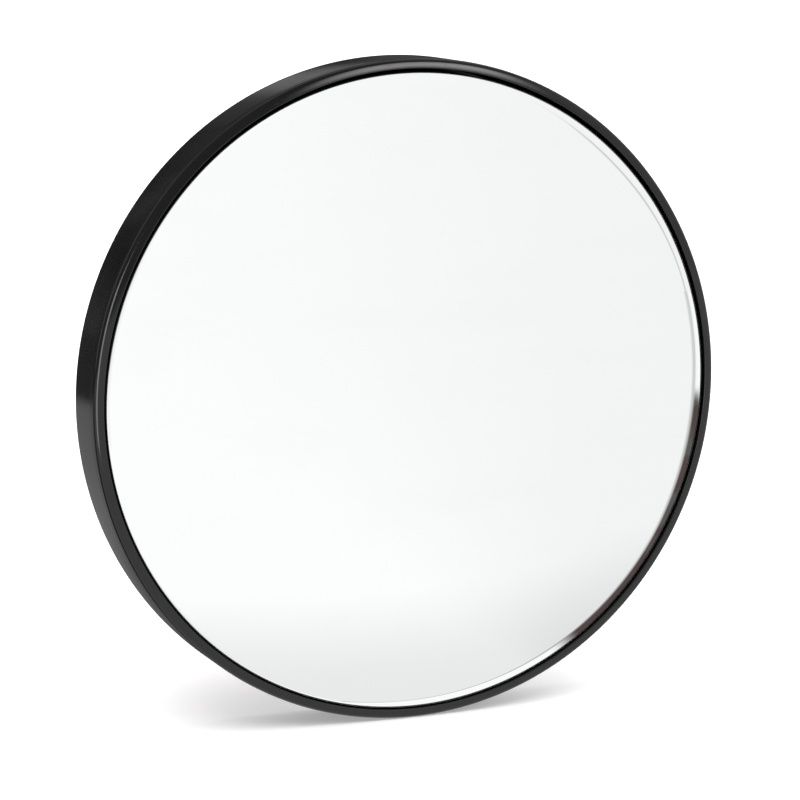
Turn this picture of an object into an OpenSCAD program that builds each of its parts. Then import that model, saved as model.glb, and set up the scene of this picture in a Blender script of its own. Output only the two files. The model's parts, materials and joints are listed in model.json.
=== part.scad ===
// Convex security mirror in a round moulded rim, on a wall bracket that pans and tilts.
// Millimetres. The wall is the plane Y = 0, +Z is up and the mirror faces -Y.
// The origin is the centre of the wall plate's back face.

/* [Rim] */
// Outside diameter of the rim
rim_d = 400; // [340:5:600]
// Depth of the rim, from the casing's flat back to the front of the lip
rim_depth = 43; // [38:1:55]
// Wall thickness of the moulded casing
casing_wall = 2.4; // [2:0.1:3]
// Rounding where the casing's side turns into its back
back_rounding = 6; // [5:0.5:12]
// Width of the bezel seen from the front
bezel_w = 6; // [5:0.5:8]
// Rounding of the bezel's outer front corner
bezel_rounding = 3; // [1.5:0.25:3.5]
// Backward slope of the bezel's front face, in degrees
bezel_slope = 12; // [5:1:25]
// Depth of the bezel, from the front of the lip to the joint with the casing
bezel_depth = 7; // [6:0.5:9]
// Number of snap hooks that hold the bezel in the casing
hook_count = 12; // [6:1:24]

/* [Mirror] */
// Radius of curvature of the mirror
dome_r = 700; // [450:10:1200]
// Thickness of the mirror sheet
dome_t = 3; // [2:0.5:4]
// Radius of the rolled border of the mirror
roll_r = 5; // [4.5:0.5:8]
// Steepest slope of the rolled border, in degrees, before it breaks into the edge
roll_end = 50; // [45:1:60]
// Clearance between the mirror and the lip, when centred
mirror_gap = 1; // [1:0.1:2]
// How far the mirror rests below the rim's centre inside that clearance
mirror_drop = 0.8; // [0:0.1:0.8]
// How far the mirror's widest line lies behind the lip
border_recess = 2.5; // [2:0.5:4]
// Length of the straight edge behind the rolled border
edge_length = 5.5; // [4:0.5:6]
// Thickness of the foam bonding ring under the mirror's edge
foam_t = 1.5; // [1:0.25:2]

/* [Bracket] */
// Distance from the wall to the pan axis, and from the tilt axis to the casing
pivot_stand = 35; // [32:1:45]
// Distance between the pan axis and the tilt axis
arm_reach = 85; // [80:1:140]
// Outside diameter of the arm tube
tube_d = 20; // [18:1:22]
// Thickness of the wall plate and of the head plate
plate_t = 3; // [2:0.5:4]
// Thickness of the bent straps that form the two clevises
strap_t = 4; // [3:0.5:5]
// Width of the clevis straps
strap_w = 28; // [26:1:32]
// Width of the wall plate
wall_plate_w = 120; // [110:5:160]
// Height of the wall plate
wall_plate_h = 100; // [90:5:140]
// Diameter of the wall screw holes
wall_hole_d = 6.5; // [5:0.1:8]
// Distance from a wall screw hole to each edge of the plate
wall_hole_inset = 12; // [10:1:16]
// Side of the square head plate on the back of the casing
head_plate_w = 104; // [96:2:140]
// Distance from a head bolt to each edge of the head plate
head_hole_inset = 12; // [10:1:16]

/* [Pivots] */
// Diameter of the two pivot bolts
pivot_d = 8; // [6:1:8]
// Running clearance between a pivot bolt and its bush, on the radius
running_gap = 0.05; // [0.02:0.01:0.08]
// Outside diameter of the arm's two knuckles
knuckle_d = 26; // [24:1:28]
// Width of a knuckle along its pivot
knuckle_w = 30; // [26:1:34]
// Thickness of the friction washers between a knuckle and its clevis
friction_t = 1.5; // [1:0.25:2]
// Outside diameter of the clamping knobs, across the lobes
knob_d = 38; // [34:1:42]
// Height of the clamping knobs
knob_h = 20; // [18:1:24]
// Number of lobes on a clamping knob
knob_lobes = 5; // [4:1:7]

/* [Hidden] */

$fn = 96;
// Overlap that lets two solids of one piece fuse
fuse = 0.01;

black = [0.05, 0.05, 0.055];
dark_grey = [0.2, 0.2, 0.21];
silver = [0.9, 0.93, 0.92];
zinc = [0.72, 0.73, 0.74];
nylon = [0.88, 0.87, 0.82];
brass = [0.8, 0.66, 0.35];
foam_grey = [0.25, 0.25, 0.26];

// Places along the arm
pan_y = -pivot_stand;
tilt_y = pan_y - arm_reach;
casing_y = tilt_y - pivot_stand;

// Rim, measured out from the mirror's axis and forward from the casing's back
rim_r = rim_d / 2;
lip_r = rim_r - bezel_w;
lip_rounding = 0.5;
seam_h = rim_depth - bezel_depth;
slope_normal = [sin(bezel_slope), cos(bezel_slope)];
lip_centre = [lip_r + lip_rounding, rim_depth - lip_rounding];
corner_x = rim_r - bezel_rounding;
corner_h = (lip_centre * slope_normal + lip_rounding - bezel_rounding
    - corner_x * slope_normal.x) / slope_normal.y;
spigot_gap = 0.2;
spigot_t = 2;
spigot_depth = 6;
spigot_r = rim_r - casing_wall - spigot_gap;
hook_reach = 0.9;
hook_h = 2;
hook_angle = 6;
pocket_angle = 8;
pocket_play = 0.4;

// Mirror, measured in the same way
mirror_r = lip_r - mirror_gap;
border_h = rim_depth - border_recess;
edge_rounding = 0.6;
edge_centre = [mirror_r - edge_rounding, border_h];
roll_centre = edge_centre + (edge_rounding - roll_r) * [sin(roll_end), cos(roll_end)];
roll_start = asin(roll_centre.x / (dome_r - roll_r));
roll_inner_end = asin((mirror_r - dome_t - roll_centre.x) / (roll_r - dome_t));
dome_centre = roll_centre + (roll_r - dome_r) * [sin(roll_start), cos(roll_start)];
edge_h = border_h - edge_length;
seat_h = edge_h - foam_t;
seat_t = 4;

// Casing fixings
boss_d = 16;
boss_h = 10;
bolt_spacing = head_plate_w - 2 * head_hole_inset;
m5_d = 5;
m5_hole_d = 5.5;
m5_across_flats = 8;
m5_head_h = 3.5;
m5_nut_h = 4.7;
m5_washer_d = 10;
m5_washer_t = 1;
backing_t = 2;
rib_count = 12;
rib_t = 2;
rib_h = 12;
rib_inner_r = head_plate_w * 0.75;
corner_r = 10;

// Clevis, measured from its pivot
clevis_stand = pivot_stand - plate_t;
ear_in = knuckle_w / 2 + friction_t;
ear_out = ear_in + strap_t;
bend_r = strap_t + 2;
bolt_play = 0.2;
rivet_d = 5;
rivet_head_d = 9;
rivet_head_h = 2.2;
rivet_spacing = 20;

// Stack under each clamping knob, measured from the pivot's middle
flat_washer_t = 1.6;
flat_washer_d = 18;
spring_washer_t = 1;
spring_washer_rise = 0.7;
knob_start = ear_out + flat_washer_t + spring_washer_t + spring_washer_rise;
insert_d = 12;
insert_h = knob_h - 4;
bolt_head_d = 18;
bolt_head_h = 4.5;
bush_d = 12;
collar_length = knuckle_d / 2 + 2;
spigot_length = 20;
tube_wall = 2;
pin_d = 3;
pin_offset = collar_length + spigot_length / 2;

// Points of an arc about a centre; angles run from the second axis towards the first
function arc(centre, radius, from, to, steps, first = 0) =
    [for (i = [first:steps])
        let (angle = from + (to - from) * i / steps)
        centre + radius * [sin(angle), cos(angle)]];

// Outline of a rectangle about the origin with rounded corners
function rounded_rectangle(width, height, radius) =
    [for (corner = [0:3])
        let (centre = [(corner < 2 ? 1 : -1) * (width / 2 - radius),
            (corner == 0 || corner == 3 ? 1 : -1) * (height / 2 - radius)])
        each arc(centre, radius, 90 * corner, 90 * corner + 90, 8)];

// Places of four fixings on a rectangle
function four_corners(across, up) =
    [for (x = [-1, 1], y = [-1, 1]) [x * across / 2, y * up / 2]];

// Puts a piece drawn about the mirror's axis, with +Z forward from the casing's back, on the arm
module on_head() {
    translate([0, casing_y, 0])
        rotate([90, 0, 0])
            children();
}

// As on_head, but about the mirror's own axis, which lies a little below the rim's
module on_mirror_axis() {
    on_head()
        translate([0, -mirror_drop, 0])
            children();
}

// Puts a piece drawn about a pivot along Z, with the clevis towards +Y, on the pan axis
module on_pan_axis() {
    translate([0, pan_y, 0])
        children();
}

// The same piece on the tilt axis, with the clevis towards the mirror
module on_tilt_axis() {
    translate([0, tilt_y, 0])
        rotate([0, 90, 0])
            rotate([0, 0, 180])
                children();
}

module ring(outer_r, inner_r, height) {
    difference() {
        cylinder(r = outer_r, h = height);
        translate([0, 0, -1])
            cylinder(r = inner_r, h = height + 2);
    }
}

module hexagon(across_flats, height) {
    cylinder(r = across_flats / sqrt(3), h = height, $fn = 6);
}

module plate(width, height, thickness, places, hole_d) {
    difference() {
        linear_extrude(thickness)
            polygon(rounded_rectangle(width, height, corner_r));
        for (place = places)
            translate([place.x, place.y, -1])
                cylinder(d = hole_d, h = thickness + 2);
        for (side = [-1, 1])
            translate([0, side * rivet_spacing / 2, -1])
                cylinder(d = rivet_d, h = thickness + 2);
    }
}

// Domed button on a flat base
module button_head(diameter, height) {
    radius = (pow(diameter / 2, 2) + pow(height, 2)) / (2 * height);
    half_angle = asin(diameter / 2 / radius);
    rotate_extrude()
        polygon(concat([[0, 0]], arc([0, height - radius], radius, half_angle, 0, 10)));
}

// U-shaped strap with round ears, a square hole in one ear and a round one in the other
module clevis() {
    difference() {
        intersection() {
            rotate([90, 0, -90])
                linear_extrude(strap_w, center = true)
                    difference() {
                        polygon(clevis_section(ear_out, clevis_stand, bend_r));
                        polygon(clevis_section(ear_in, clevis_stand - strap_t, bend_r - strap_t));
                    }
            linear_extrude(2 * ear_out + 2, center = true)
                union() {
                    circle(d = strap_w);
                    translate([-strap_w / 2, 0])
                        square([strap_w, clevis_stand]);
                }
        }
        translate([0, 0, -ear_out - 1])
            cylinder(d = pivot_d + 2 * bolt_play, h = ear_out);
        translate([0, 0, (ear_in + ear_out) / 2])
            cube([pivot_d + bolt_play, pivot_d + bolt_play, strap_t + 2], center = true);
        for (side = [-1, 1])
            translate([0, clevis_stand + 1, side * rivet_spacing / 2])
                rotate([90, 0, 0])
                    cylinder(d = rivet_d, h = strap_t + 2);
    }
}

// Half-open outline of the strap's bend: two ears and the web, with rounded corners
function clevis_section(half_width, depth, radius) =
    concat(
        [[strap_w, -half_width]],
        arc([radius - depth, radius - half_width], radius, 180, 270, 8),
        arc([radius - depth, half_width - radius], radius, 270, 360, 8),
        [[strap_w, half_width]]);

// Two rivets through a plate and the clevis web, drawn in the clevis frame
module rivets() {
    for (side = [-1, 1])
        translate([0, pivot_stand, side * rivet_spacing / 2])
            rotate([90, 0, 0]) {
                cylinder(d = rivet_d, h = plate_t + strap_t + fuse);
                translate([0, 0, plate_t + strap_t])
                    button_head(rivet_head_d, rivet_head_h);
            }
}

// Round-head bolt with a square neck, clamped by the knob
module pivot_bolt() {
    neck_w = pivot_d - bolt_play;
    translate([0, 0, -knob_start - insert_h + 1])
        cylinder(d = pivot_d, h = knob_start + insert_h - 1 + ear_in);
    translate([-neck_w / 2, -neck_w / 2, ear_in])
        cube([neck_w, neck_w, strap_t + fuse]);
    translate([0, 0, ear_out])
        button_head(bolt_head_d, bolt_head_h);
}

module friction_washers() {
    for (base = [knuckle_w / 2, -ear_in])
        translate([0, 0, base])
            ring(knuckle_d / 2, pivot_d / 2 + bolt_play, friction_t);
}

module flat_washer() {
    translate([0, 0, -ear_out - flat_washer_t])
        ring(flat_washer_d / 2, pivot_d / 2 + bolt_play, flat_washer_t);
}

// Coned washer: its outer edge bears on the flat washer, its inner edge on the knob
module spring_washer() {
    inner_r = pivot_d / 2 + bolt_play;
    outer_r = flat_washer_d / 2;
    translate([0, 0, -knob_start])
        rotate_extrude()
            polygon([
                [inner_r, 0],
                [outer_r, spring_washer_rise],
                [outer_r, spring_washer_rise + spring_washer_t],
                [inner_r, spring_washer_t]]);
}

module knob() {
    lobe_r = knob_d / 7;
    lobe_place_r = knob_d / 2 - lobe_r;
    collar_h = 4;
    collar_r = insert_d / 2 + 3;
    translate([0, 0, -knob_start - knob_h])
        difference() {
            union() {
                linear_extrude(knob_h - collar_h)
                    union() {
                        circle(r = lobe_place_r);
                        for (lobe = [1:knob_lobes])
                            rotate(360 / knob_lobes * lobe)
                                translate([lobe_place_r, 0])
                                    circle(r = lobe_r);
                    }
                cylinder(r = collar_r, h = knob_h);
            }
            translate([0, 0, knob_h - insert_h])
                cylinder(d = insert_d, h = insert_h + 1);
        }
}

module knob_insert() {
    translate([0, 0, -knob_start - insert_h])
        ring(insert_d / 2, pivot_d / 2 + running_gap, insert_h);
}

// Arm end: a barrel on the pivot and a spigot that fits inside the tube
module knuckle() {
    difference() {
        union() {
            cylinder(d = knuckle_d, h = knuckle_w, center = true);
            rotate([90, 0, 0]) {
                cylinder(d = tube_d, h = collar_length);
                cylinder(d = tube_d - 2 * tube_wall, h = collar_length + spigot_length);
            }
        }
        cylinder(d = bush_d, h = knuckle_w + 2, center = true);
        pin_hole();
    }
}

// Cross hole for an arm pin
module pin_hole() {
    translate([0, -pin_offset, 0])
        rotate([0, 90, 0])
            cylinder(d = pin_d, h = tube_d + 2, center = true);
}

module arm_pin() {
    translate([0, -pin_offset, 0])
        rotate([0, 90, 0])
            cylinder(d = pin_d, h = tube_d, center = true);
}

module bush() {
    translate([0, 0, -knuckle_w / 2])
        ring(bush_d / 2, pivot_d / 2 + running_gap, knuckle_w);
}

module mirror_dome() {
    color(silver)
        on_mirror_axis()
            rotate_extrude()
                polygon(concat(
                    arc([0, dome_centre.y], dome_r, 0, roll_start, 24),
                    arc(roll_centre, roll_r, roll_start, roll_end, 12, 1),
                    arc(edge_centre, edge_rounding, roll_end, 90, 4, 1),
                    [[mirror_r, edge_h], [mirror_r - dome_t, edge_h]],
                    arc(roll_centre, roll_r - dome_t, roll_inner_end, roll_start, 12),
                    arc([0, dome_centre.y], dome_r - dome_t, roll_start, 0, 24, 1)));
}

// Trim ring with a rounded front, a spigot that enters the casing and snap hooks on the spigot
module front_bezel() {
    inner_shoulder_h = seam_h + 1;
    color(black)
        on_head()
            union() {
                rotate_extrude()
                    polygon(concat(
                        [[rim_r, seam_h]],
                        arc([corner_x, corner_h], bezel_rounding, 90, bezel_slope, 8),
                        arc(lip_centre, lip_rounding, bezel_slope, -90, 6),
                        [[lip_r, inner_shoulder_h],
                            [spigot_r - spigot_t, inner_shoulder_h],
                            [spigot_r - spigot_t, seam_h - spigot_depth],
                            [spigot_r, seam_h - spigot_depth],
                            [spigot_r, seam_h]]));
                for (hook = [1:hook_count])
                    rotate(360 / hook_count * hook - hook_angle / 2)
                        translate([0, 0, seam_h - spigot_depth + 1])
                            rotate_extrude(angle = hook_angle)
                                polygon([
                                    [spigot_r - 1, 0],
                                    [spigot_r + hook_reach / 3, 0],
                                    [spigot_r + hook_reach, hook_h / 2],
                                    [spigot_r + hook_reach, hook_h],
                                    [spigot_r - 1, hook_h]]);
            }
}

module bonding_foam() {
    color(foam_grey)
        on_mirror_axis()
            translate([0, 0, seat_h])
                ring(mirror_r, mirror_r - seat_t, foam_t);
}

// Dish that carries the mirror's seat, the bolt bosses and the radial ribs
module rear_casing() {
    corner_centre = [rim_r - back_rounding, back_rounding];
    color(black)
        difference() {
            union() {
                on_head() {
                    rotate_extrude()
                        polygon(concat(
                            [[0, 0]],
                            arc(corner_centre, back_rounding, 180, 90, 8),
                            [[rim_r, seam_h], [rim_r - casing_wall, seam_h]],
                            arc(corner_centre, back_rounding - casing_wall, 90, 180, 8),
                            [[0, casing_wall]]));
                    for (rib = [1:rib_count])
                        rotate(360 / rib_count * (rib + 0.5))
                            translate([rib_inner_r, -rib_t / 2, casing_wall - fuse])
                                cube([mirror_r - seat_t - rib_inner_r, rib_t, rib_h]);
                    for (place = four_corners(bolt_spacing, bolt_spacing))
                        translate([place.x, place.y, casing_wall - fuse])
                            cylinder(d = boss_d, h = boss_h - casing_wall + fuse);
                }
                on_mirror_axis()
                    translate([0, 0, casing_wall - fuse])
                        ring(mirror_r, mirror_r - seat_t, seat_h - casing_wall + fuse);
            }
            on_head() {
                for (place = four_corners(bolt_spacing, bolt_spacing))
                    translate([place.x, place.y, -1])
                        cylinder(d = m5_hole_d, h = boss_h + 2);
                for (hook = [1:hook_count])
                    rotate(360 / hook_count * hook - pocket_angle / 2)
                        translate([0, 0, seam_h - spigot_depth + 1 - pocket_play])
                            rotate_extrude(angle = pocket_angle)
                                translate([spigot_r, 0])
                                    square([hook_reach + pocket_play, hook_h + 2 * pocket_play]);
            }
        }
}

// Steel plate inside the casing that spreads the load of the head bolts
module backing_plate() {
    color(zinc)
        on_head()
            translate([0, 0, boss_h])
                difference() {
                    linear_extrude(backing_t)
                        polygon(rounded_rectangle(head_plate_w, head_plate_w, corner_r));
                    for (place = four_corners(bolt_spacing, bolt_spacing))
                        translate([place.x, place.y, -1])
                            cylinder(d = m5_hole_d, h = backing_t + 2);
                }
}

module head_plate() {
    color(black)
        on_head()
            rotate([0, 0, 90])
                translate([0, 0, -plate_t])
                    plate(head_plate_w, head_plate_w, plate_t,
                        four_corners(bolt_spacing, bolt_spacing), m5_hole_d);
}

module head_bolts() {
    under_head = -plate_t - m5_washer_t;
    shank_end = boss_h + backing_t + m5_nut_h + 1;
    color(zinc)
        on_head()
            for (place = four_corners(bolt_spacing, bolt_spacing))
                translate([place.x, place.y, under_head]) {
                    translate([0, 0, -m5_head_h])
                        hexagon(m5_across_flats, m5_head_h);
                    translate([0, 0, -fuse])
                        cylinder(d = m5_d, h = shank_end - under_head + fuse);
                }
}

module head_washers() {
    color(zinc)
        on_head()
            for (place = four_corners(bolt_spacing, bolt_spacing))
                translate([place.x, place.y, -plate_t - m5_washer_t])
                    ring(m5_washer_d / 2, m5_hole_d / 2, m5_washer_t);
}

// Nuts with a plain collar that holds the locking ring
module head_nuts() {
    collar_h = 1;
    color(zinc)
        on_head()
            for (place = four_corners(bolt_spacing, bolt_spacing))
                translate([place.x, place.y, boss_h + backing_t])
                    difference() {
                        union() {
                            hexagon(m5_across_flats, m5_nut_h - collar_h);
                            cylinder(d = m5_across_flats - 1, h = m5_nut_h);
                        }
                        translate([0, 0, -1])
                            cylinder(d = m5_d, h = m5_nut_h + 2);
                    }
}

module tilt_clevis() {
    color(black) on_tilt_axis() clevis();
}

module tilt_rivets() {
    color(dark_grey) on_tilt_axis() rivets();
}

module tilt_bolt() {
    color(zinc) on_tilt_axis() pivot_bolt();
}

module tilt_friction_washers() {
    color(nylon) on_tilt_axis() friction_washers();
}

module tilt_flat_washer() {
    color(zinc) on_tilt_axis() flat_washer();
}

module tilt_spring_washer() {
    color(dark_grey) on_tilt_axis() spring_washer();
}

module tilt_knob() {
    color(black) on_tilt_axis() knob();
}

module tilt_knob_insert() {
    color(brass) on_tilt_axis() knob_insert();
}

module tilt_knuckle() {
    color(dark_grey) on_tilt_axis() knuckle();
}

module tilt_bush() {
    color(nylon) on_tilt_axis() bush();
}

module arm_tube() {
    color(black)
        difference() {
            translate([0, pan_y - collar_length, 0])
                rotate([90, 0, 0])
                    ring(tube_d / 2, tube_d / 2 - tube_wall, arm_reach - 2 * collar_length);
            on_pan_axis() pin_hole();
            on_tilt_axis() pin_hole();
        }
}

// Spring pins that lock the knuckles' spigots in the tube
module arm_pins() {
    color(dark_grey) {
        on_pan_axis() arm_pin();
        on_tilt_axis() arm_pin();
    }
}

module pan_knuckle() {
    color(dark_grey) on_pan_axis() knuckle();
}

module pan_bush() {
    color(nylon) on_pan_axis() bush();
}

module pan_clevis() {
    color(black) on_pan_axis() clevis();
}

module pan_rivets() {
    color(dark_grey) on_pan_axis() rivets();
}

module pan_bolt() {
    color(zinc) on_pan_axis() pivot_bolt();
}

module pan_friction_washers() {
    color(nylon) on_pan_axis() friction_washers();
}

module pan_flat_washer() {
    color(zinc) on_pan_axis() flat_washer();
}

module pan_spring_washer() {
    color(dark_grey) on_pan_axis() spring_washer();
}

module pan_knob() {
    color(black) on_pan_axis() knob();
}

module pan_knob_insert() {
    color(brass) on_pan_axis() knob_insert();
}

module wall_plate() {
    color(black)
        rotate([90, 0, 0])
            plate(wall_plate_w, wall_plate_h, plate_t,
                four_corners(wall_plate_w - 2 * wall_hole_inset, wall_plate_h - 2 * wall_hole_inset),
                wall_hole_d);
}

mirror_dome();
front_bezel();
bonding_foam();
rear_casing();
backing_plate();
head_plate();
head_bolts();
head_washers();
head_nuts();
tilt_clevis();
tilt_rivets();
tilt_bolt();
tilt_friction_washers();
tilt_flat_washer();
tilt_spring_washer();
tilt_knob();
tilt_knob_insert();
tilt_knuckle();
tilt_bush();
arm_tube();
arm_pins();
pan_knuckle();
pan_bush();
pan_clevis();
pan_rivets();
pan_bolt();
pan_friction_washers();
pan_flat_washer();
pan_spring_washer();
pan_knob();
pan_knob_insert();
wall_plate();
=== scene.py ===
"""Looks of the convex security mirror: finished meshes, materials, studio and camera.

Everything is in metres in the CAD frame: the wall is the plane Y = 0, the mirror faces -Y, +Z is up.
"""
import json
import math

import bpy
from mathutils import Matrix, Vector


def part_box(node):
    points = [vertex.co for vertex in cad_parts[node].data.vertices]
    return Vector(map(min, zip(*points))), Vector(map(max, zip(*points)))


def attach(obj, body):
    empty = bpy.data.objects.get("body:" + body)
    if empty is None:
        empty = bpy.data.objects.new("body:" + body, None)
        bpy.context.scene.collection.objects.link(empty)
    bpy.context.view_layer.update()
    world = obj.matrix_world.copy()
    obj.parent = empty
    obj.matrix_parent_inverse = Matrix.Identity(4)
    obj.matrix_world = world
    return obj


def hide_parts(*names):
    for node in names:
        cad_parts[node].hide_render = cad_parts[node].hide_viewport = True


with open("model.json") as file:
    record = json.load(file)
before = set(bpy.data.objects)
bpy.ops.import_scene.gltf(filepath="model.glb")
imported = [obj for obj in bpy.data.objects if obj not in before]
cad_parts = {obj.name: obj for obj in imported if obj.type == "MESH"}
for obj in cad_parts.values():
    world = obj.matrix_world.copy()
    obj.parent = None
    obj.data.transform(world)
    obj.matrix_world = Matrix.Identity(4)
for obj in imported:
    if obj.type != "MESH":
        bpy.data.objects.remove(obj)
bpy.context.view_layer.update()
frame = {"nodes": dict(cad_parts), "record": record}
MM = 0.001
SEGMENTS = 384              # around each turned piece
GROOVE = 0.35 * MM          # half width and depth of the fine groove between bezel and casing
LEFT_LEVEL = 0.72           # brightness of the mirror's white surroundings at the far left
# the grey line is a painted shadow line, in the floor's glow and in the sky that only the mirror
# reflects
SHADOW_LINE_LEVEL = 0.65           # brightness of the grey line that the mirror shows along its right edge


# ---------------------------------------------------------------------------- sizes from the frame

casing_low, casing_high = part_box("rear_casing")
bezel_low, bezel_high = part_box("front_bezel")
dome_low, dome_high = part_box("mirror_dome")

rim_centre = (casing_low + casing_high) / 2
rim_radius = (casing_high.z - casing_low.z) / 2
back_y = casing_high.y
seam_y = casing_low.y
lip_y = bezel_low.y
dome_radius = (dome_high.z - dome_low.z) / 2
dome_centre_z = (dome_high.z + dome_low.z) / 2
floor_z = casing_low.z


# ---------------------------------------------------------------------------- mesh helpers

def arc(centre, radius, start, end, steps, first=0):
    """Points of an arc in equal steps; first=1 leaves out its first point.

    Angles are in degrees, from straight forward (0) towards outward (90).
    """
    points = []
    for i in range(first, steps + 1):
        angle = math.radians(start + (end - start) * i / steps)
        points.append((centre[0] + radius * math.sin(angle), centre[1] - radius * math.cos(angle)))
    return points


def new_object(name, data):
    """Puts a mesh, a lamp or a camera into the scene."""
    item = bpy.data.objects.new(name, data)
    bpy.context.scene.collection.objects.link(item)
    return item


def mesh_object(name, verts, faces, body, material):
    """Makes a smooth-shaded mesh piece that rides on a CAD body."""
    mesh = bpy.data.meshes.new(name)
    mesh.from_pydata(verts, [], faces)
    mesh.validate()
    mesh.update()
    mesh.shade_smooth()
    mesh.set_sharp_from_angle(angle=math.radians(32))
    mesh.materials.append(material)
    piece = new_object(name, mesh)
    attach(piece, body)
    return piece


def revolve(outline, centre_z):
    """Verts and faces of a closed outline of (radius, y) points turned about the mirror's axis.

    A point on the axis becomes one vertex. The outline runs forward face first, outwards.
    """
    verts = []
    rings = []
    on_axis = 0.0001 * MM
    for radius, y in outline:
        if radius < on_axis:
            rings.append([len(verts)])
            verts.append((rim_centre.x, y, centre_z))
            continue
        ring = []
        for k in range(SEGMENTS):
            turn = 2 * math.pi * k / SEGMENTS
            ring.append(len(verts))
            x = rim_centre.x + radius * math.cos(turn)
            verts.append((x, y, centre_z + radius * math.sin(turn)))
        rings.append(ring)
    faces = []
    for i, ring in enumerate(rings):
        after = rings[(i + 1) % len(rings)]
        if len(ring) == 1 and len(after) == 1:
            continue
        for k in range(SEGMENTS):
            n = (k + 1) % SEGMENTS
            if len(ring) == 1:
                faces.append((ring[0], after[k], after[n]))
            elif len(after) == 1:
                faces.append((ring[k], after[0], ring[n]))
            else:
                faces.append((ring[k], after[k], after[n], ring[n]))
    return verts, faces


# ---------------------------------------------------------------------------- shader helpers

def rgb(r, g, b):
    return (r, g, b, 1.0)


class Nodes:
    """Short way to wire shader nodes, shared by the materials and the world."""

    def __init__(self, tree):
        self.tree = tree

    def add(self, kind, **settings):
        node = self.tree.nodes.new(kind)
        for key, value in settings.items():
            setattr(node, key, value)
        return node

    def feed(self, socket, value):
        """Sets a socket to a number, a colour, a point or another node's output."""
        if isinstance(value, bpy.types.NodeSocket):
            self.tree.links.new(value, socket)
        else:
            socket.default_value = value

    def axes(self, vector):
        """The X, Y and Z of a vector."""
        split = self.add("ShaderNodeSeparateXYZ")
        self.feed(split.inputs["Vector"], vector)
        return tuple(split.outputs)

    def math(self, operation, a, b=0.0):
        node = self.add("ShaderNodeMath", operation=operation)
        self.feed(node.inputs[0], a)
        self.feed(node.inputs[1], b)
        return node.outputs["Value"]

    def spread(self, value, low, high, to_low=0.0, to_high=1.0):
        """Eases from to_low to to_high while the value runs from low to high."""
        node = self.add("ShaderNodeMapRange", interpolation_type="SMOOTHSTEP")
        for socket, number in zip(node.inputs, (value, low, high, to_low, to_high)):
            self.feed(socket, number)
        return node.outputs["Result"]

    def hump(self, value, start, full, fading, end):
        """0 up to start, 1 from full to fading, and 0 again after end."""
        rise = self.spread(value, start, full)
        fall = self.spread(value, fading, end, 1.0, 0.0)
        return self.math("MULTIPLY", rise, fall)

    def window(self, value, low, high, soft):
        """1 between low and high and 0 outside, each edge eased over soft on either side."""
        return self.hump(value, low - soft, low + soft, high - soft, high + soft)

    def mix(self, factor, a, b, kind="FLOAT"):
        """Number a where the factor is 0 and b where it is 1."""
        node = self.add("ShaderNodeMix", data_type=kind)
        self.feed(node.inputs["Factor"], factor)
        self.feed(node.inputs["A"], a)
        self.feed(node.inputs["B"], b)
        return node.outputs["Result"]

    def blend(self, factor, a, b):
        """Colour a where the factor is 0 and b where it is 1."""
        return self.mix(factor, a, b, "RGBA")


class Graph(Nodes):
    """A node material, painted by position on the object."""

    def __init__(self, name):
        self.material = bpy.data.materials.new(name)
        self.material.use_nodes = True
        super().__init__(self.material.node_tree)
        self.shader = self.tree.nodes["Principled BSDF"]
        self.surface = self.tree.nodes["Material Output"].inputs["Surface"]
        self.place = self.add("ShaderNodeTexCoord").outputs["Object"]

    def stretch(self, x, y, z):
        """Object position scaled along each axis, for streaks and grain."""
        node = self.add("ShaderNodeMapping")
        self.feed(node.inputs["Vector"], self.place)
        node.inputs["Scale"].default_value = (x, y, z)
        return node.outputs["Vector"]

    def noise(self, scale, detail=3.0, roughness=0.55, vector=None, distortion=0.0):
        node = self.add("ShaderNodeTexNoise")
        self.feed(node.inputs["Vector"], vector or self.place)
        node.inputs["Scale"].default_value = scale
        node.inputs["Detail"].default_value = detail
        node.inputs["Roughness"].default_value = roughness
        node.inputs["Distortion"].default_value = distortion
        return node.outputs["Fac"]

    def cells(self, scale):
        """Distance from the nearest of many scattered points."""
        node = self.add("ShaderNodeTexVoronoi")
        self.feed(node.inputs["Vector"], self.place)
        node.inputs["Scale"].default_value = scale
        return node.outputs["Distance"]

    def bump(self, height, distance, strength, below=None):
        """Surface normal with the height added, on top of another bump if there is one below."""
        node = self.add("ShaderNodeBump")
        node.inputs["Distance"].default_value = distance
        node.inputs["Strength"].default_value = strength
        self.feed(node.inputs["Height"], height)
        if below is not None:
            self.feed(node.inputs["Normal"], below)
        return node.outputs["Normal"]

    def radius_from(self, centre_x, centre_z):
        """Distance of a point from an axis along Y."""
        x, _, z = self.axes(self.place)
        across = self.math("SUBTRACT", x, centre_x)
        up = self.math("SUBTRACT", z, centre_z)
        across_squared = self.math("MULTIPLY", across, across)
        up_squared = self.math("MULTIPLY", up, up)
        return self.math("SQRT", self.math("ADD", across_squared, up_squared))

    def facing_up(self):
        """1 on surfaces that face up, where dust settles."""
        normal = self.add("ShaderNodeNewGeometry").outputs["Normal"]
        return self.spread(self.axes(normal)[2], 0.2, 0.95)

    def glow(self, colour, strength):
        node = self.add("ShaderNodeEmission")
        self.feed(node.inputs["Color"], colour)
        self.feed(node.inputs["Strength"], strength)
        return node.outputs["Emission"]

    def finish(self, **inputs):
        """Sets the shader's named inputs and gives the material back."""
        for name, value in inputs.items():
            self.feed(self.shader.inputs[name.replace("_", " ")], value)
        return self.material


# ---------------------------------------------------------------------------- materials

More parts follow.
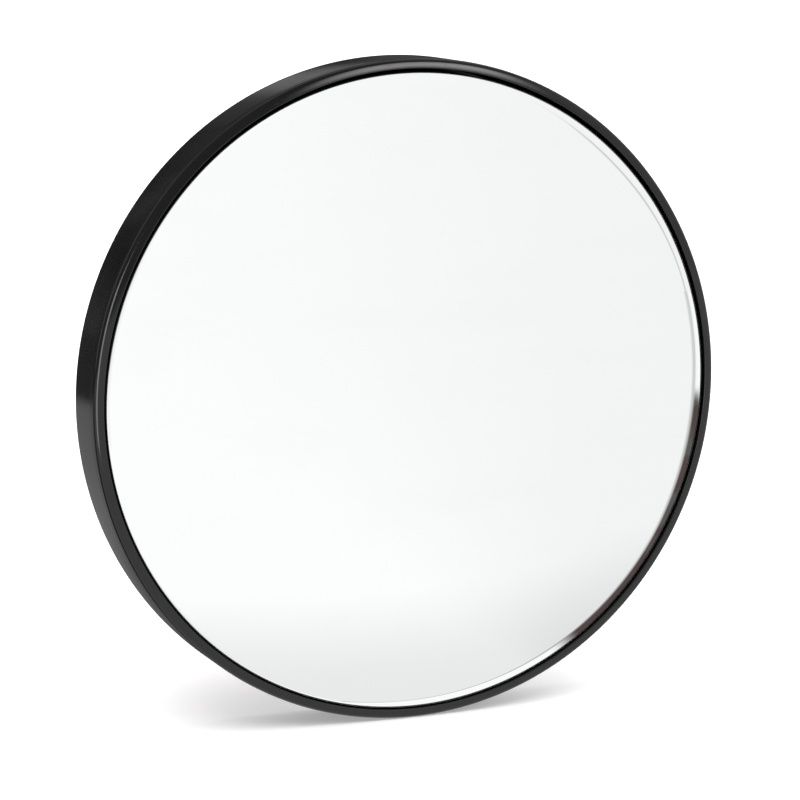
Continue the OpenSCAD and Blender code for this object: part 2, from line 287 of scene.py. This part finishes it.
def mirror_material():
    """Acrylic mirror: pale green-grey face with faint wipe marks, specks of dust and forming ripple; a
    painted shade makes its edge band matte near-black.
    """
    g = Graph("acrylic_mirror")
    wipe = g.noise(9.0, detail=4.0, roughness=0.6, vector=g.stretch(1.0, 1.0, 3.2), distortion=0.6)
    specks = g.spread(g.cells(520.0), 0.0, 0.035, 1.0, 0.0)
    specks = g.math("MULTIPLY", specks, g.spread(g.noise(24.0), 0.52, 0.6))
    radius = g.radius_from(rim_centre.x, dome_centre_z)
    # painted shade: the outer band turns matte, uncoated and near-black, drawing the dark gap under the
    # bezel's lip
    edge = g.spread(radius, dome_radius - 1.1 * MM, dome_radius - 0.75 * MM)
    tint = g.blend(g.spread(wipe, 0.4, 0.8), rgb(0.94, 0.962, 0.955), rgb(0.93, 0.948, 0.935))
    tint = g.blend(g.math("MULTIPLY", specks, 0.25), tint, rgb(0.75, 0.76, 0.75))
    # near-black colour of the painted shade along the edge
    colour = g.blend(edge, tint, rgb(0.004, 0.004, 0.004))
    ripple = g.bump(g.noise(7.0, detail=1.5, roughness=0.4), 0.35 * MM, 0.12)
    return g.finish(
        Base_Color=colour,
        Metallic=g.math("SUBTRACT", 1.0, edge),
        Roughness=g.math("MAXIMUM", g.math("MULTIPLY", specks, 0.3), g.math("MULTIPLY", edge, 0.6)),
        Specular_IOR_Level=g.mix(edge, 0.5, 0.1),
        Normal=ripple,
        Coat_Weight=g.math("SUBTRACT", 1.0, edge),
        Coat_Roughness=0.0,
        Coat_IOR=1.49)


def rim_material():
    """Glossy moulded plastic: fine orange peel, hairline scratches and a little dust on top."""
    g = Graph("gloss_black_plastic")
    peel = g.noise(420.0, detail=2.0, roughness=0.5)
    flow = g.noise(16.0, detail=3.0, roughness=0.5, vector=g.stretch(1.0, 4.0, 1.0))
    scratch = g.noise(60.0, detail=5.0, roughness=0.7, vector=g.stretch(1.0, 14.0, 1.0), distortion=1.2)
    scratch = g.spread(scratch, 0.62, 0.68)
    dust = g.spread(g.cells(1400.0), 0.0, 0.12, 1.0, 0.0)
    dust = g.math("MULTIPLY", dust, g.spread(g.noise(90.0), 0.5, 0.66))
    dust = g.math("MULTIPLY", dust, g.math("ADD", g.math("MULTIPLY", g.facing_up(), 0.7), 0.08))
    shade = g.blend(flow, rgb(0.0045, 0.0045, 0.0048), rgb(0.0075, 0.0074, 0.0073))
    colour = g.blend(g.math("MULTIPLY", dust, 0.2), shade, rgb(0.3, 0.29, 0.27))
    roughness = g.spread(flow, 0.3, 0.75, 0.09, 0.15)
    roughness = g.math("ADD", roughness, g.math("MULTIPLY", scratch, 0.07))
    roughness = g.math("ADD", roughness, g.math("MULTIPLY", dust, 0.1))
    surface = g.bump(peel, 0.012 * MM, 0.5)
    surface = g.bump(scratch, 0.006 * MM, 0.5, surface)
    return g.finish(Base_Color=colour, Roughness=roughness, Normal=surface, IOR=1.46)


def powder_coat_material():
    """Black powder coat: leathery fine texture with slightly polished high spots."""
    g = Graph("black_powder_coat")
    grain = g.noise(900.0, detail=2.0, roughness=0.55)
    patch = g.noise(30.0, detail=3.0)
    rub = g.spread(g.noise(75.0, detail=5.0, roughness=0.65), 0.62, 0.74)
    colour = g.blend(patch, rgb(0.016, 0.016, 0.017), rgb(0.026, 0.026, 0.027))
    colour = g.blend(g.math("MULTIPLY", rub, 0.35), colour, rgb(0.06, 0.06, 0.062))
    roughness = g.spread(patch, 0.3, 0.7, 0.42, 0.56)
    return g.finish(Base_Color=colour, Roughness=roughness, Normal=g.bump(grain, 0.05 * MM, 0.5))


def cast_material():
    """Painted casting: coarser skin with worn corners."""
    g = Graph("painted_casting")
    skin = g.noise(520.0, detail=4.0, roughness=0.6)
    patch = g.noise(42.0, detail=4.0)
    colour = g.blend(patch, rgb(0.055, 0.056, 0.058), rgb(0.085, 0.086, 0.088))
    wear = g.spread(g.math("MULTIPLY", g.noise(120.0, detail=5.0, roughness=0.7), skin), 0.36, 0.46)
    colour = g.blend(g.math("MULTIPLY", wear, 0.4), colour, rgb(0.25, 0.25, 0.25))
    roughness = g.spread(patch, 0.3, 0.7, 0.4, 0.55)
    return g.finish(Base_Color=colour, Roughness=roughness, Metallic=0.35,
                    Normal=g.bump(skin, 0.12 * MM, 0.5))


def zinc_material():
    """Bright zinc plating with fine turning marks and a faint yellow to blue cast."""
    g = Graph("zinc_plated_steel")
    lines = g.noise(1600.0, detail=2.0, roughness=0.5, vector=g.stretch(0.12, 1.0, 0.3))
    cast = g.noise(140.0, detail=2.0)
    stain = g.spread(g.noise(260.0, detail=5.0, roughness=0.7), 0.5, 0.72)
    colour = g.blend(cast, rgb(0.56, 0.58, 0.62), rgb(0.64, 0.61, 0.54))
    colour = g.blend(g.math("MULTIPLY", stain, 0.35), colour, rgb(0.32, 0.31, 0.3))
    roughness = g.math("ADD", g.spread(lines, 0.3, 0.7, 0.2, 0.32), g.math("MULTIPLY", stain, 0.15))
    return g.finish(Base_Color=colour, Metallic=1.0, Roughness=roughness,
                    Normal=g.bump(lines, 0.01 * MM, 0.5))


def spring_steel_material():
    """Dark oiled spring steel."""
    g = Graph("oiled_spring_steel")
    film = g.noise(220.0, detail=4.0, roughness=0.6)
    colour = g.blend(film, rgb(0.13, 0.125, 0.12), rgb(0.22, 0.22, 0.24))
    return g.finish(Base_Color=colour, Metallic=1.0, Roughness=g.spread(film, 0.3, 0.7, 0.22, 0.38),
                    Normal=g.bump(film, 0.01 * MM, 0.4))


def brass_material():
    """Machined brass with fine turning lines."""
    g = Graph("machined_brass")
    lines = g.noise(1500.0, detail=2.0, roughness=0.5, vector=g.stretch(0.2, 1.0, 1.0))
    colour = g.blend(g.noise(180.0), rgb(0.62, 0.43, 0.16), rgb(0.7, 0.52, 0.24))
    return g.finish(Base_Color=colour, Metallic=1.0, Roughness=g.spread(lines, 0.3, 0.7, 0.2, 0.34),
                    Normal=g.bump(lines, 0.01 * MM, 0.5))


def nylon_material():
    """Natural nylon: milky, slightly translucent."""
    g = Graph("natural_nylon")
    cloud = g.noise(130.0, detail=3.0)
    colour = g.blend(cloud, rgb(0.72, 0.7, 0.62), rgb(0.78, 0.77, 0.71))
    return g.finish(Base_Color=colour, Roughness=g.spread(cloud, 0.3, 0.7, 0.38, 0.5),
                    Subsurface_Weight=0.25, Subsurface_Scale=1.5 * MM,
                    Normal=g.bump(g.noise(700.0), 0.015 * MM, 0.5))


def foam_material():
    """Black closed-cell foam."""
    g = Graph("black_foam")
    cell = g.cells(900.0)
    colour = g.blend(g.noise(80.0), rgb(0.01, 0.01, 0.01), rgb(0.022, 0.022, 0.022))
    return g.finish(Base_Color=colour, Roughness=0.95, Normal=g.bump(cell, 0.2 * MM, 0.7))


def knob_material():
    """Satin moulded knob: spark-eroded texture, polished where fingers rub."""
    g = Graph("satin_knob_plastic")
    grain = g.noise(1300.0, detail=3.0, roughness=0.6)
    rub = g.noise(45.0, detail=3.0)
    colour = g.blend(rub, rgb(0.014, 0.014, 0.014), rgb(0.022, 0.022, 0.023))
    return g.finish(Base_Color=colour, Roughness=g.spread(rub, 0.3, 0.7, 0.34, 0.5),
                    Normal=g.bump(grain, 0.04 * MM, 0.5))


MATERIALS = {
    "mirror": mirror_material(),
    "rim_plastic": rim_material(),
    "foam": foam_material(),
    "zinc_steel": zinc_material(),
    "powder_coat": powder_coat_material(),
    "nylon": nylon_material(),
    "spring_steel": spring_steel_material(),
    "knob_plastic": knob_material(),
    "brass": brass_material(),
    "cast_grey": cast_material(),
}


# ---------------------------------------------------------------------------- pieces

def build_mirror():
    """The dome: a spherical face and a rolled border that breaks into a short straight edge."""
    thickness = 3 * MM
    inner_radius = dome_radius - thickness
    face_radius = 700 * MM
    roll = 5 * MM
    roll_end = 50
    edge = 0.6 * MM
    straight = 5.5 * MM
    edge_centre = (dome_radius - edge, dome_high.y - straight)
    roll_centre = (
        edge_centre[0] - (roll - edge) * math.sin(math.radians(roll_end)),
        edge_centre[1] + (roll - edge) * math.cos(math.radians(roll_end)))
    face_end = math.degrees(math.asin(roll_centre[0] / (face_radius - roll)))
    face_centre = (0, roll_centre[1] + (face_radius - roll) * math.cos(math.radians(face_end)))
    inner_end = math.degrees(math.asin((inner_radius - roll_centre[0]) / (roll - thickness)))
    outline = arc(face_centre, face_radius, 0, face_end, 64)
    outline += arc(roll_centre, roll, face_end, roll_end, 28, 1)
    outline += arc(edge_centre, edge, roll_end, 90, 8, 1)
    outline += [(dome_radius, dome_high.y), (inner_radius, dome_high.y)]
    outline += arc(roll_centre, roll - thickness, inner_end, face_end, 10)
    outline += arc(face_centre, face_radius - thickness, face_end, 0, 24, 1)
    verts, faces = revolve(outline, dome_centre_z)
    piece = mesh_object("mirror_face", verts, faces, "mirror_head", MATERIALS["mirror"])
    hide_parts("mirror_dome")


def build_bezel():
    """The trim ring: crisp lip, sloping face, small round corner and a fine groove at the joint."""
    slope = 12
    corner = 3 * MM
    edge = 0.5 * MM
    lip_radius = rim_radius - 6 * MM
    lip_centre = (lip_radius + edge, lip_y + edge)
    corner_x = rim_radius - corner
    run = math.sin(math.radians(slope))
    rise = math.cos(math.radians(slope))
    corner_y = lip_centre[1] + (corner_x - lip_centre[0]) * run / rise + (corner - edge) / rise
    spigot = rim_radius - 2.6 * MM
    spigot_wall = 2 * MM
    face_wall = 1 * MM
    outline = arc(lip_centre, edge, -90, slope, 8)
    outline += arc((corner_x, corner_y), corner, slope, 90, 14)
    outline += [
        (rim_radius, seam_y - GROOVE),
        (rim_radius - GROOVE, seam_y),
        (spigot, seam_y),
        (spigot, bezel_high.y),
        (spigot - spigot_wall, bezel_high.y),
        (spigot - spigot_wall, seam_y - face_wall),
        (lip_radius, seam_y - face_wall),
    ]
    verts, faces = revolve(outline, rim_centre.z)
    piece = mesh_object("bezel_ring", verts, faces, "mirror_head",
                        MATERIALS["rim_plastic"])
    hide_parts("front_bezel")


def build_casing():
    """The casing: side wall and rounded back corner."""
    wall = 2.4 * MM
    rounding = 6 * MM
    corner = (rim_radius - rounding, back_y - rounding)
    outline = [
        (rim_radius - wall, seam_y),
        (rim_radius - GROOVE, seam_y),
        (rim_radius, seam_y + GROOVE),
    ]
    outline += arc(corner, rounding, 90, 180, 16)
    outline += [(0, back_y), (0, back_y - wall)]
    outline += arc(corner, rounding - wall, 180, 90, 8)
    verts, faces = revolve(outline, rim_centre.z)
    piece = mesh_object("casing_shell", verts, faces, "mirror_head",
                        MATERIALS["rim_plastic"])
    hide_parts("rear_casing")


def dress_cad_nodes():
    """Gives every carried-over CAD node its material and slightly broken edges."""
    slots = {row["node"]: row["material_slot"] for row in frame["record"]["subparts"]}
    for name, node in frame["nodes"].items():
        node.data.materials.clear()
        node.data.materials.append(MATERIALS[slots[name]])
        if node.hide_render:
            continue
        weld = node.modifiers.new("weld", "WELD")
        weld.merge_threshold = 0.01 * MM
        bevel = node.modifiers.new("broken_edges", "BEVEL")
        bevel.width = 0.35 * MM
        bevel.segments = 2
        bevel.limit_method = "ANGLE"
        bevel.angle_limit = math.radians(35)
        bevel.loop_slide = False
        node.data.shade_smooth()
        flat = node.modifiers.new("flat_faces", "WEIGHTED_NORMAL")
        flat.weight = 100


# ---------------------------------------------------------------------------- studio

def flat_mesh(name, corners, material):
    """A single four-sided face, part of the studio."""
    mesh = bpy.data.meshes.new(name)
    mesh.from_pydata(corners, [], [(0, 1, 2, 3)])
    mesh.materials.append(material)
    item = new_object(name, mesh)
    return item


def white_room(nodes, azimuth, left_level):
    """Brightness of the mirror's white surroundings: dimmer at the left, a little dimmer at the right.

    Azimuth is in degrees from straight in front to the right.
    """
    left = nodes.mix(nodes.hump(azimuth, -178, -120, -65, -16), 1.0, left_level)
    right = nodes.mix(nodes.hump(azimuth, -30, 57, 120, 178), 1.03, 0.94)
    return nodes.math("MULTIPLY", left, right)


def floor_in_rim(g, across, depth):
    """Painted glow of the floor as the satin rim reflects it: white in front, a painted shadow behind
    the rim that lightens further back, dim far behind, bright at the right.
    """
    # painted shadow of the rim on the floor's glow, darkest just behind it
    behind = g.spread(depth, -0.1, 0.25, 0.05, 0.36)
    behind = g.mix(g.spread(depth, 0.95, 1.25), behind, 0.06)
    behind = g.mix(g.spread(across, 0.05, 0.5), behind, 0.9)
    return g.mix(g.spread(depth, -0.19, -0.13), 1.0, behind)


def shadow_line_and_goods(g, across, ahead, level):
    """Painted reflection on the floor's glow: white close to the rim, a thin painted shadow line around
    it and dark goods on its right part.

    The shadow line is bent so that the bulging face shows it parallel to the mirror's rim.
    """
    bend_width = 0.345
    bend_slope = 0.67
    squared = g.math("MULTIPLY", across, across)
    bend = g.math("DIVIDE", squared, g.math("ADD", g.math("ABSOLUTE", across), bend_width))
    nearest = g.spread(across, 0.1, 0.4, 11 * MM, 8 * MM)
    shadow_line = g.math("ADD", g.math("MULTIPLY", bend, bend_slope), nearest)
    beside = g.math("DIVIDE", ahead, shadow_line)
    level = g.mix(g.spread(beside, 0.96, 0.98), 1.0, level)
    # painted shadow line: the glow turns grey on a thin ring just beyond the white
    shadow_line_level = g.spread(across, 0.1, 0.4, 0.35, SHADOW_LINE_LEVEL)
    level = g.mix(g.hump(beside, 0.98, 0.99, 1.0, 1.015), level, shadow_line_level)
    # dark goods: a painted reflection of dark things, on the floor's glow that only the mirror sees
    patches = g.spread(g.noise(5.0), 0.5, 0.62)
    dark = g.blend(patches, rgb(0.09, 0.065, 0.062), rgb(0.11, 0.105, 0.10))
    goods = g.math(
        "MULTIPLY",
        g.hump(beside, -0.3, -0.1, 0.975, 1.0),
        g.hump(across, 0.12, 0.16, 0.95, 1.15))
    return g.blend(goods, level, dark)


def floor_in_mirror(g, across, depth):
    """Painted glow of the floor as the polished face reflects it: near white, with painted shade that
    makes it a little greyer close to the rim.
    """
    ahead = g.math("SUBTRACT", lip_y, depth)
    sideways = g.math("ABSOLUTE", across)
    # painted shade: the glow is greyer close to the rim
    level = g.spread(ahead, 16 * MM, 162 * MM, 0.83, 1.0)
    level = g.mix(g.spread(sideways, 0.3, 0.6), level, 1.0)
    turn = g.math("ARCTAN2", g.math("SUBTRACT", across, rim_radius / 2), ahead)
    left_level = g.spread(sideways, 0.6, 2.5, 1.0, LEFT_LEVEL)
    level = g.math("MULTIPLY", level, white_room(g, g.math("DEGREES", turn), left_level))
    return shadow_line_and_goods(g, across, ahead, level)


def floor_to_camera(g, camera_ray):
    """Diffuse floor that takes the shadow, with a painted glow to the camera that lifts it to white
    further away from the shadow.
    """
    diffuse = g.add("ShaderNodeBsdfDiffuse")
    diffuse.inputs["Color"].default_value = rgb(0.87, 0.85, 0.865)
    shadow_centre = (-0.02, casing_low.y + 0.06, floor_z)
    away = g.add("ShaderNodeVectorMath", operation="DISTANCE")
    g.feed(away.inputs[0], g.place)
    g.feed(away.inputs[1], shadow_centre)
    # painted light: a camera-only glow, weaker near the shadow so that only its core shows
    lift = g.spread(away.outputs["Value"], 0.05, 0.20, 0.29, 0.6)
    lit = g.add("ShaderNodeAddShader")
    g.feed(lit.inputs[0], diffuse.outputs["BSDF"])
    g.feed(lit.inputs[1], g.glow(rgb(1, 1, 1), g.math("MULTIPLY", camera_ray, lift)))
    return lit.outputs["Shader"]


def floor_material():
    """Pale floor; reflections see a painted glow instead of the lit floor, in its own tones for the rim
    and for the mirror's polished face.
    """
    g = Graph("studio_floor")
    across, depth, _ = g.axes(g.place)
    path = g.add("ShaderNodeLightPath")
    # painted reflection: glossy rays see this painted glow, while camera and matt rays see the lit
    # diffuse floor
    reflected = g.blend(
        path.outputs["Is Singular Ray"],
        floor_in_rim(g, across, depth),
        floor_in_mirror(g, across, depth))
    either = g.add("ShaderNodeMixShader")
    g.feed(either.inputs["Fac"], path.outputs["Is Glossy Ray"])
    g.feed(either.inputs[1], floor_to_camera(g, path.outputs["Is Camera Ray"]))
    g.feed(either.inputs[2], g.glow(reflected, 1.0))
    g.feed(g.surface, either.outputs["Shader"])
    return g.material


def build_floor():
    """Pale floor under the rim."""
    half = 12.0
    corners = [(half * x, half * y, floor_z) for x, y in ((-1, -1), (1, -1), (1, 1), (-1, 1))]
    flat_mesh("floor", corners, floor_material())


def build_strip_light():
    """Upright strip light at the left; the mirror's polished face sees a plain white board there."""
    g = Graph("strip_light")
    polished = g.add("ShaderNodeLightPath").outputs["Is Singular Ray"]
    g.feed(g.surface, g.glow(rgb(1, 1, 1), g.mix(polished, 5.0, 0.95)))
    turn = math.radians(-31)
    away = 0.67
    half_width = 0.17
    top_z = 0.245
    centre = Vector((-rim_radius + away * math.sin(turn), lip_y - away * math.cos(turn), 0))
    side = half_width * Vector((math.cos(turn), math.sin(turn), 0))
    bottom = Vector((0, 0, floor_z))
    top = Vector((0, 0, top_z))
    strip = flat_mesh(
        "strip_light",
        [centre - side + bottom, centre + side + bottom, centre + side + top, centre - side + top],
        g.material)
    strip.visible_camera = False
    strip.visible_diffuse = False
    strip.visible_shadow = False


class Sky(Nodes):
    """World shader painted by direction, in degrees.

    Azimuth runs from straight in front (0) to the right, elevation from the horizon (0) up.
    """

    def __init__(self):
        world = bpy.data.worlds.new("studio")
        bpy.context.scene.world = world
        world.use_nodes = True
        super().__init__(world.node_tree)
        self.background = self.tree.nodes["Background"]
        self.direction = self.add("ShaderNodeTexCoord").outputs["Generated"]
        x, y, z = self.axes(self.direction)
        forward = self.math("MULTIPLY", y, -1.0)
        self.azimuth = self.math("DEGREES", self.math("ARCTAN2", x, forward))
        self.elevation = self.math("DEGREES", self.math("ARCSINE", z))

    def room(self):
        """Dim, blotchy surroundings, drawn out upwards like furniture and curtains."""
        squeeze = self.add("ShaderNodeMapping")
        self.feed(squeeze.inputs["Vector"], self.direction)
        squeeze.inputs["Scale"].default_value = (9.0, 9.0, 2.5)
        noise = self.add("ShaderNodeTexNoise")
        self.feed(noise.inputs["Vector"], squeeze.outputs["Vector"])
        noise.inputs["Scale"].default_value = 1.0
        noise.inputs["Detail"].default_value = 3.0
        return self.spread(noise.outputs["Fac"], 0.4, 0.65, 0.03, 0.11)

    def card(self, base, strength, azimuths, elevations, soft):
        """Covers a range of azimuth and of elevation with an even brightness."""
        mask = self.math(
            "MULTIPLY",
            self.window(self.azimuth, *azimuths, soft),
            self.window(self.elevation, *elevations, soft))
        return self.mix(mask, base, strength)

    def shadow_line(self):
        """1 on the line that carries the floor's painted shadow line on above the horizon, at the
        right.

        The line leans towards the front as it rises, more and more, and fades out high up.
        """
        at_horizon = 56.25
        half_width = 0.15
        slope = self.math("ADD", self.math("MULTIPLY", self.elevation, 0.022), 0.36)
        lean = self.math("MULTIPLY", self.elevation, slope)
        straightened = self.math("ADD", self.azimuth, lean)
        line = self.window(straightened, at_horizon - half_width, at_horizon + half_width, 0.1)
        return self.math("MULTIPLY", line, self.spread(self.elevation, 14, 22, 1.0, 0.0))

    def show(self, ambient, rim_sees, mirror_sees):
        """White to the camera, even light for matt surfaces, and a room each for satin and polish."""
        path = self.add("ShaderNodeLightPath")
        reflected = self.mix(path.outputs["Is Singular Ray"], rim_sees, mirror_sees)
        lit = self.mix(path.outputs["Is Glossy Ray"], ambient, reflected)
        seen = self.mix(path.outputs["Is Camera Ray"], lit, 1.05)
        self.feed(self.background.inputs["Strength"], seen)
        self.background.inputs["Color"].default_value = rgb(1, 1, 1)


def build_sky():
    """Dim room with white boards and a softbox around the rim; white surroundings for the mirror."""
    sky = Sky()
    rim_sees = sky.room()
    for strength, azimuths, elevations, soft in (
            (0.7, (-190, 190), (50, 110), 6),     # ceiling
            (0.6, (-148, -108), (-20, 110), 6),   # board behind, at the left
            (0.95, (98, 148), (-20, 110), 4),     # board behind, at the right
            (0.33, (160, 170), (12, 60), 2),      # narrow board straight behind
            (0.22, (-110, 36), (-20, 110), 6),    # dim wall in front
            (0.75, (34, 130), (-20, 42), 5),      # low board at the right
            (8.0, (15, 33), (14, 21), 4)):        # softbox in front, high at the right
        rim_sees = sky.card(rim_sees, strength, azimuths, elevations, soft)
    mirror_sees = white_room(sky, sky.azimuth, LEFT_LEVEL)
    # painted shadow line, carried on from the floor's glow into the sky that the mirror reflects
    mirror_sees = sky.mix(sky.shadow_line(), mirror_sees, SHADOW_LINE_LEVEL)
    sky.show(ambient=0.60, rim_sees=rim_sees, mirror_sees=mirror_sees)


def build_lamp():
    """One broad lamp, a little in front of straight overhead, which gives the soft shadow."""
    glow = bpy.data.lights.new("ceiling_glow", "SUN")
    glow.energy = 2.0
    glow.angle = math.radians(60)
    lamp = new_object("ceiling_glow", glow)
    shines = Vector((0.10, 0.36, -0.93))
    lamp.rotation_euler = shines.to_track_quat("-Z", "Y").to_euler()
    lamp.visible_camera = False
    lamp.visible_glossy = False


def build_camera():
    """Camera left of the mirror's axis and a little above it, aimed just beside the rim's centre."""
    azimuth = math.radians(-22.3)
    elevation = math.radians(9.4)
    distance = 1.925
    back = Vector((
        math.sin(azimuth) * math.cos(elevation),
        -math.cos(azimuth) * math.cos(elevation),
        math.sin(elevation)))
    right = Vector((math.cos(azimuth), math.sin(azimuth), 0))
    up = back.cross(right)
    aside = 8.0 * MM
    below = 4.4 * MM
    centre = Vector((rim_centre.x, lip_y + 4 * MM, rim_centre.z))
    aim = centre - aside * right - below * up
    camera = bpy.data.cameras.new("camera")
    camera.lens = 144.5
    camera.sensor_width = 36.0
    item = new_object("camera", camera)
    item.location = centre + back * distance
    item.rotation_euler = (aim - item.location).to_track_quat("-Z", "Y").to_euler()
    bpy.context.scene.camera = item
    bpy.context.scene.view_settings.view_transform = "Standard"


build_mirror()
build_bezel()
build_casing()
dress_cad_nodes()
build_floor()
build_strip_light()
build_sky()
build_lamp()
build_camera()
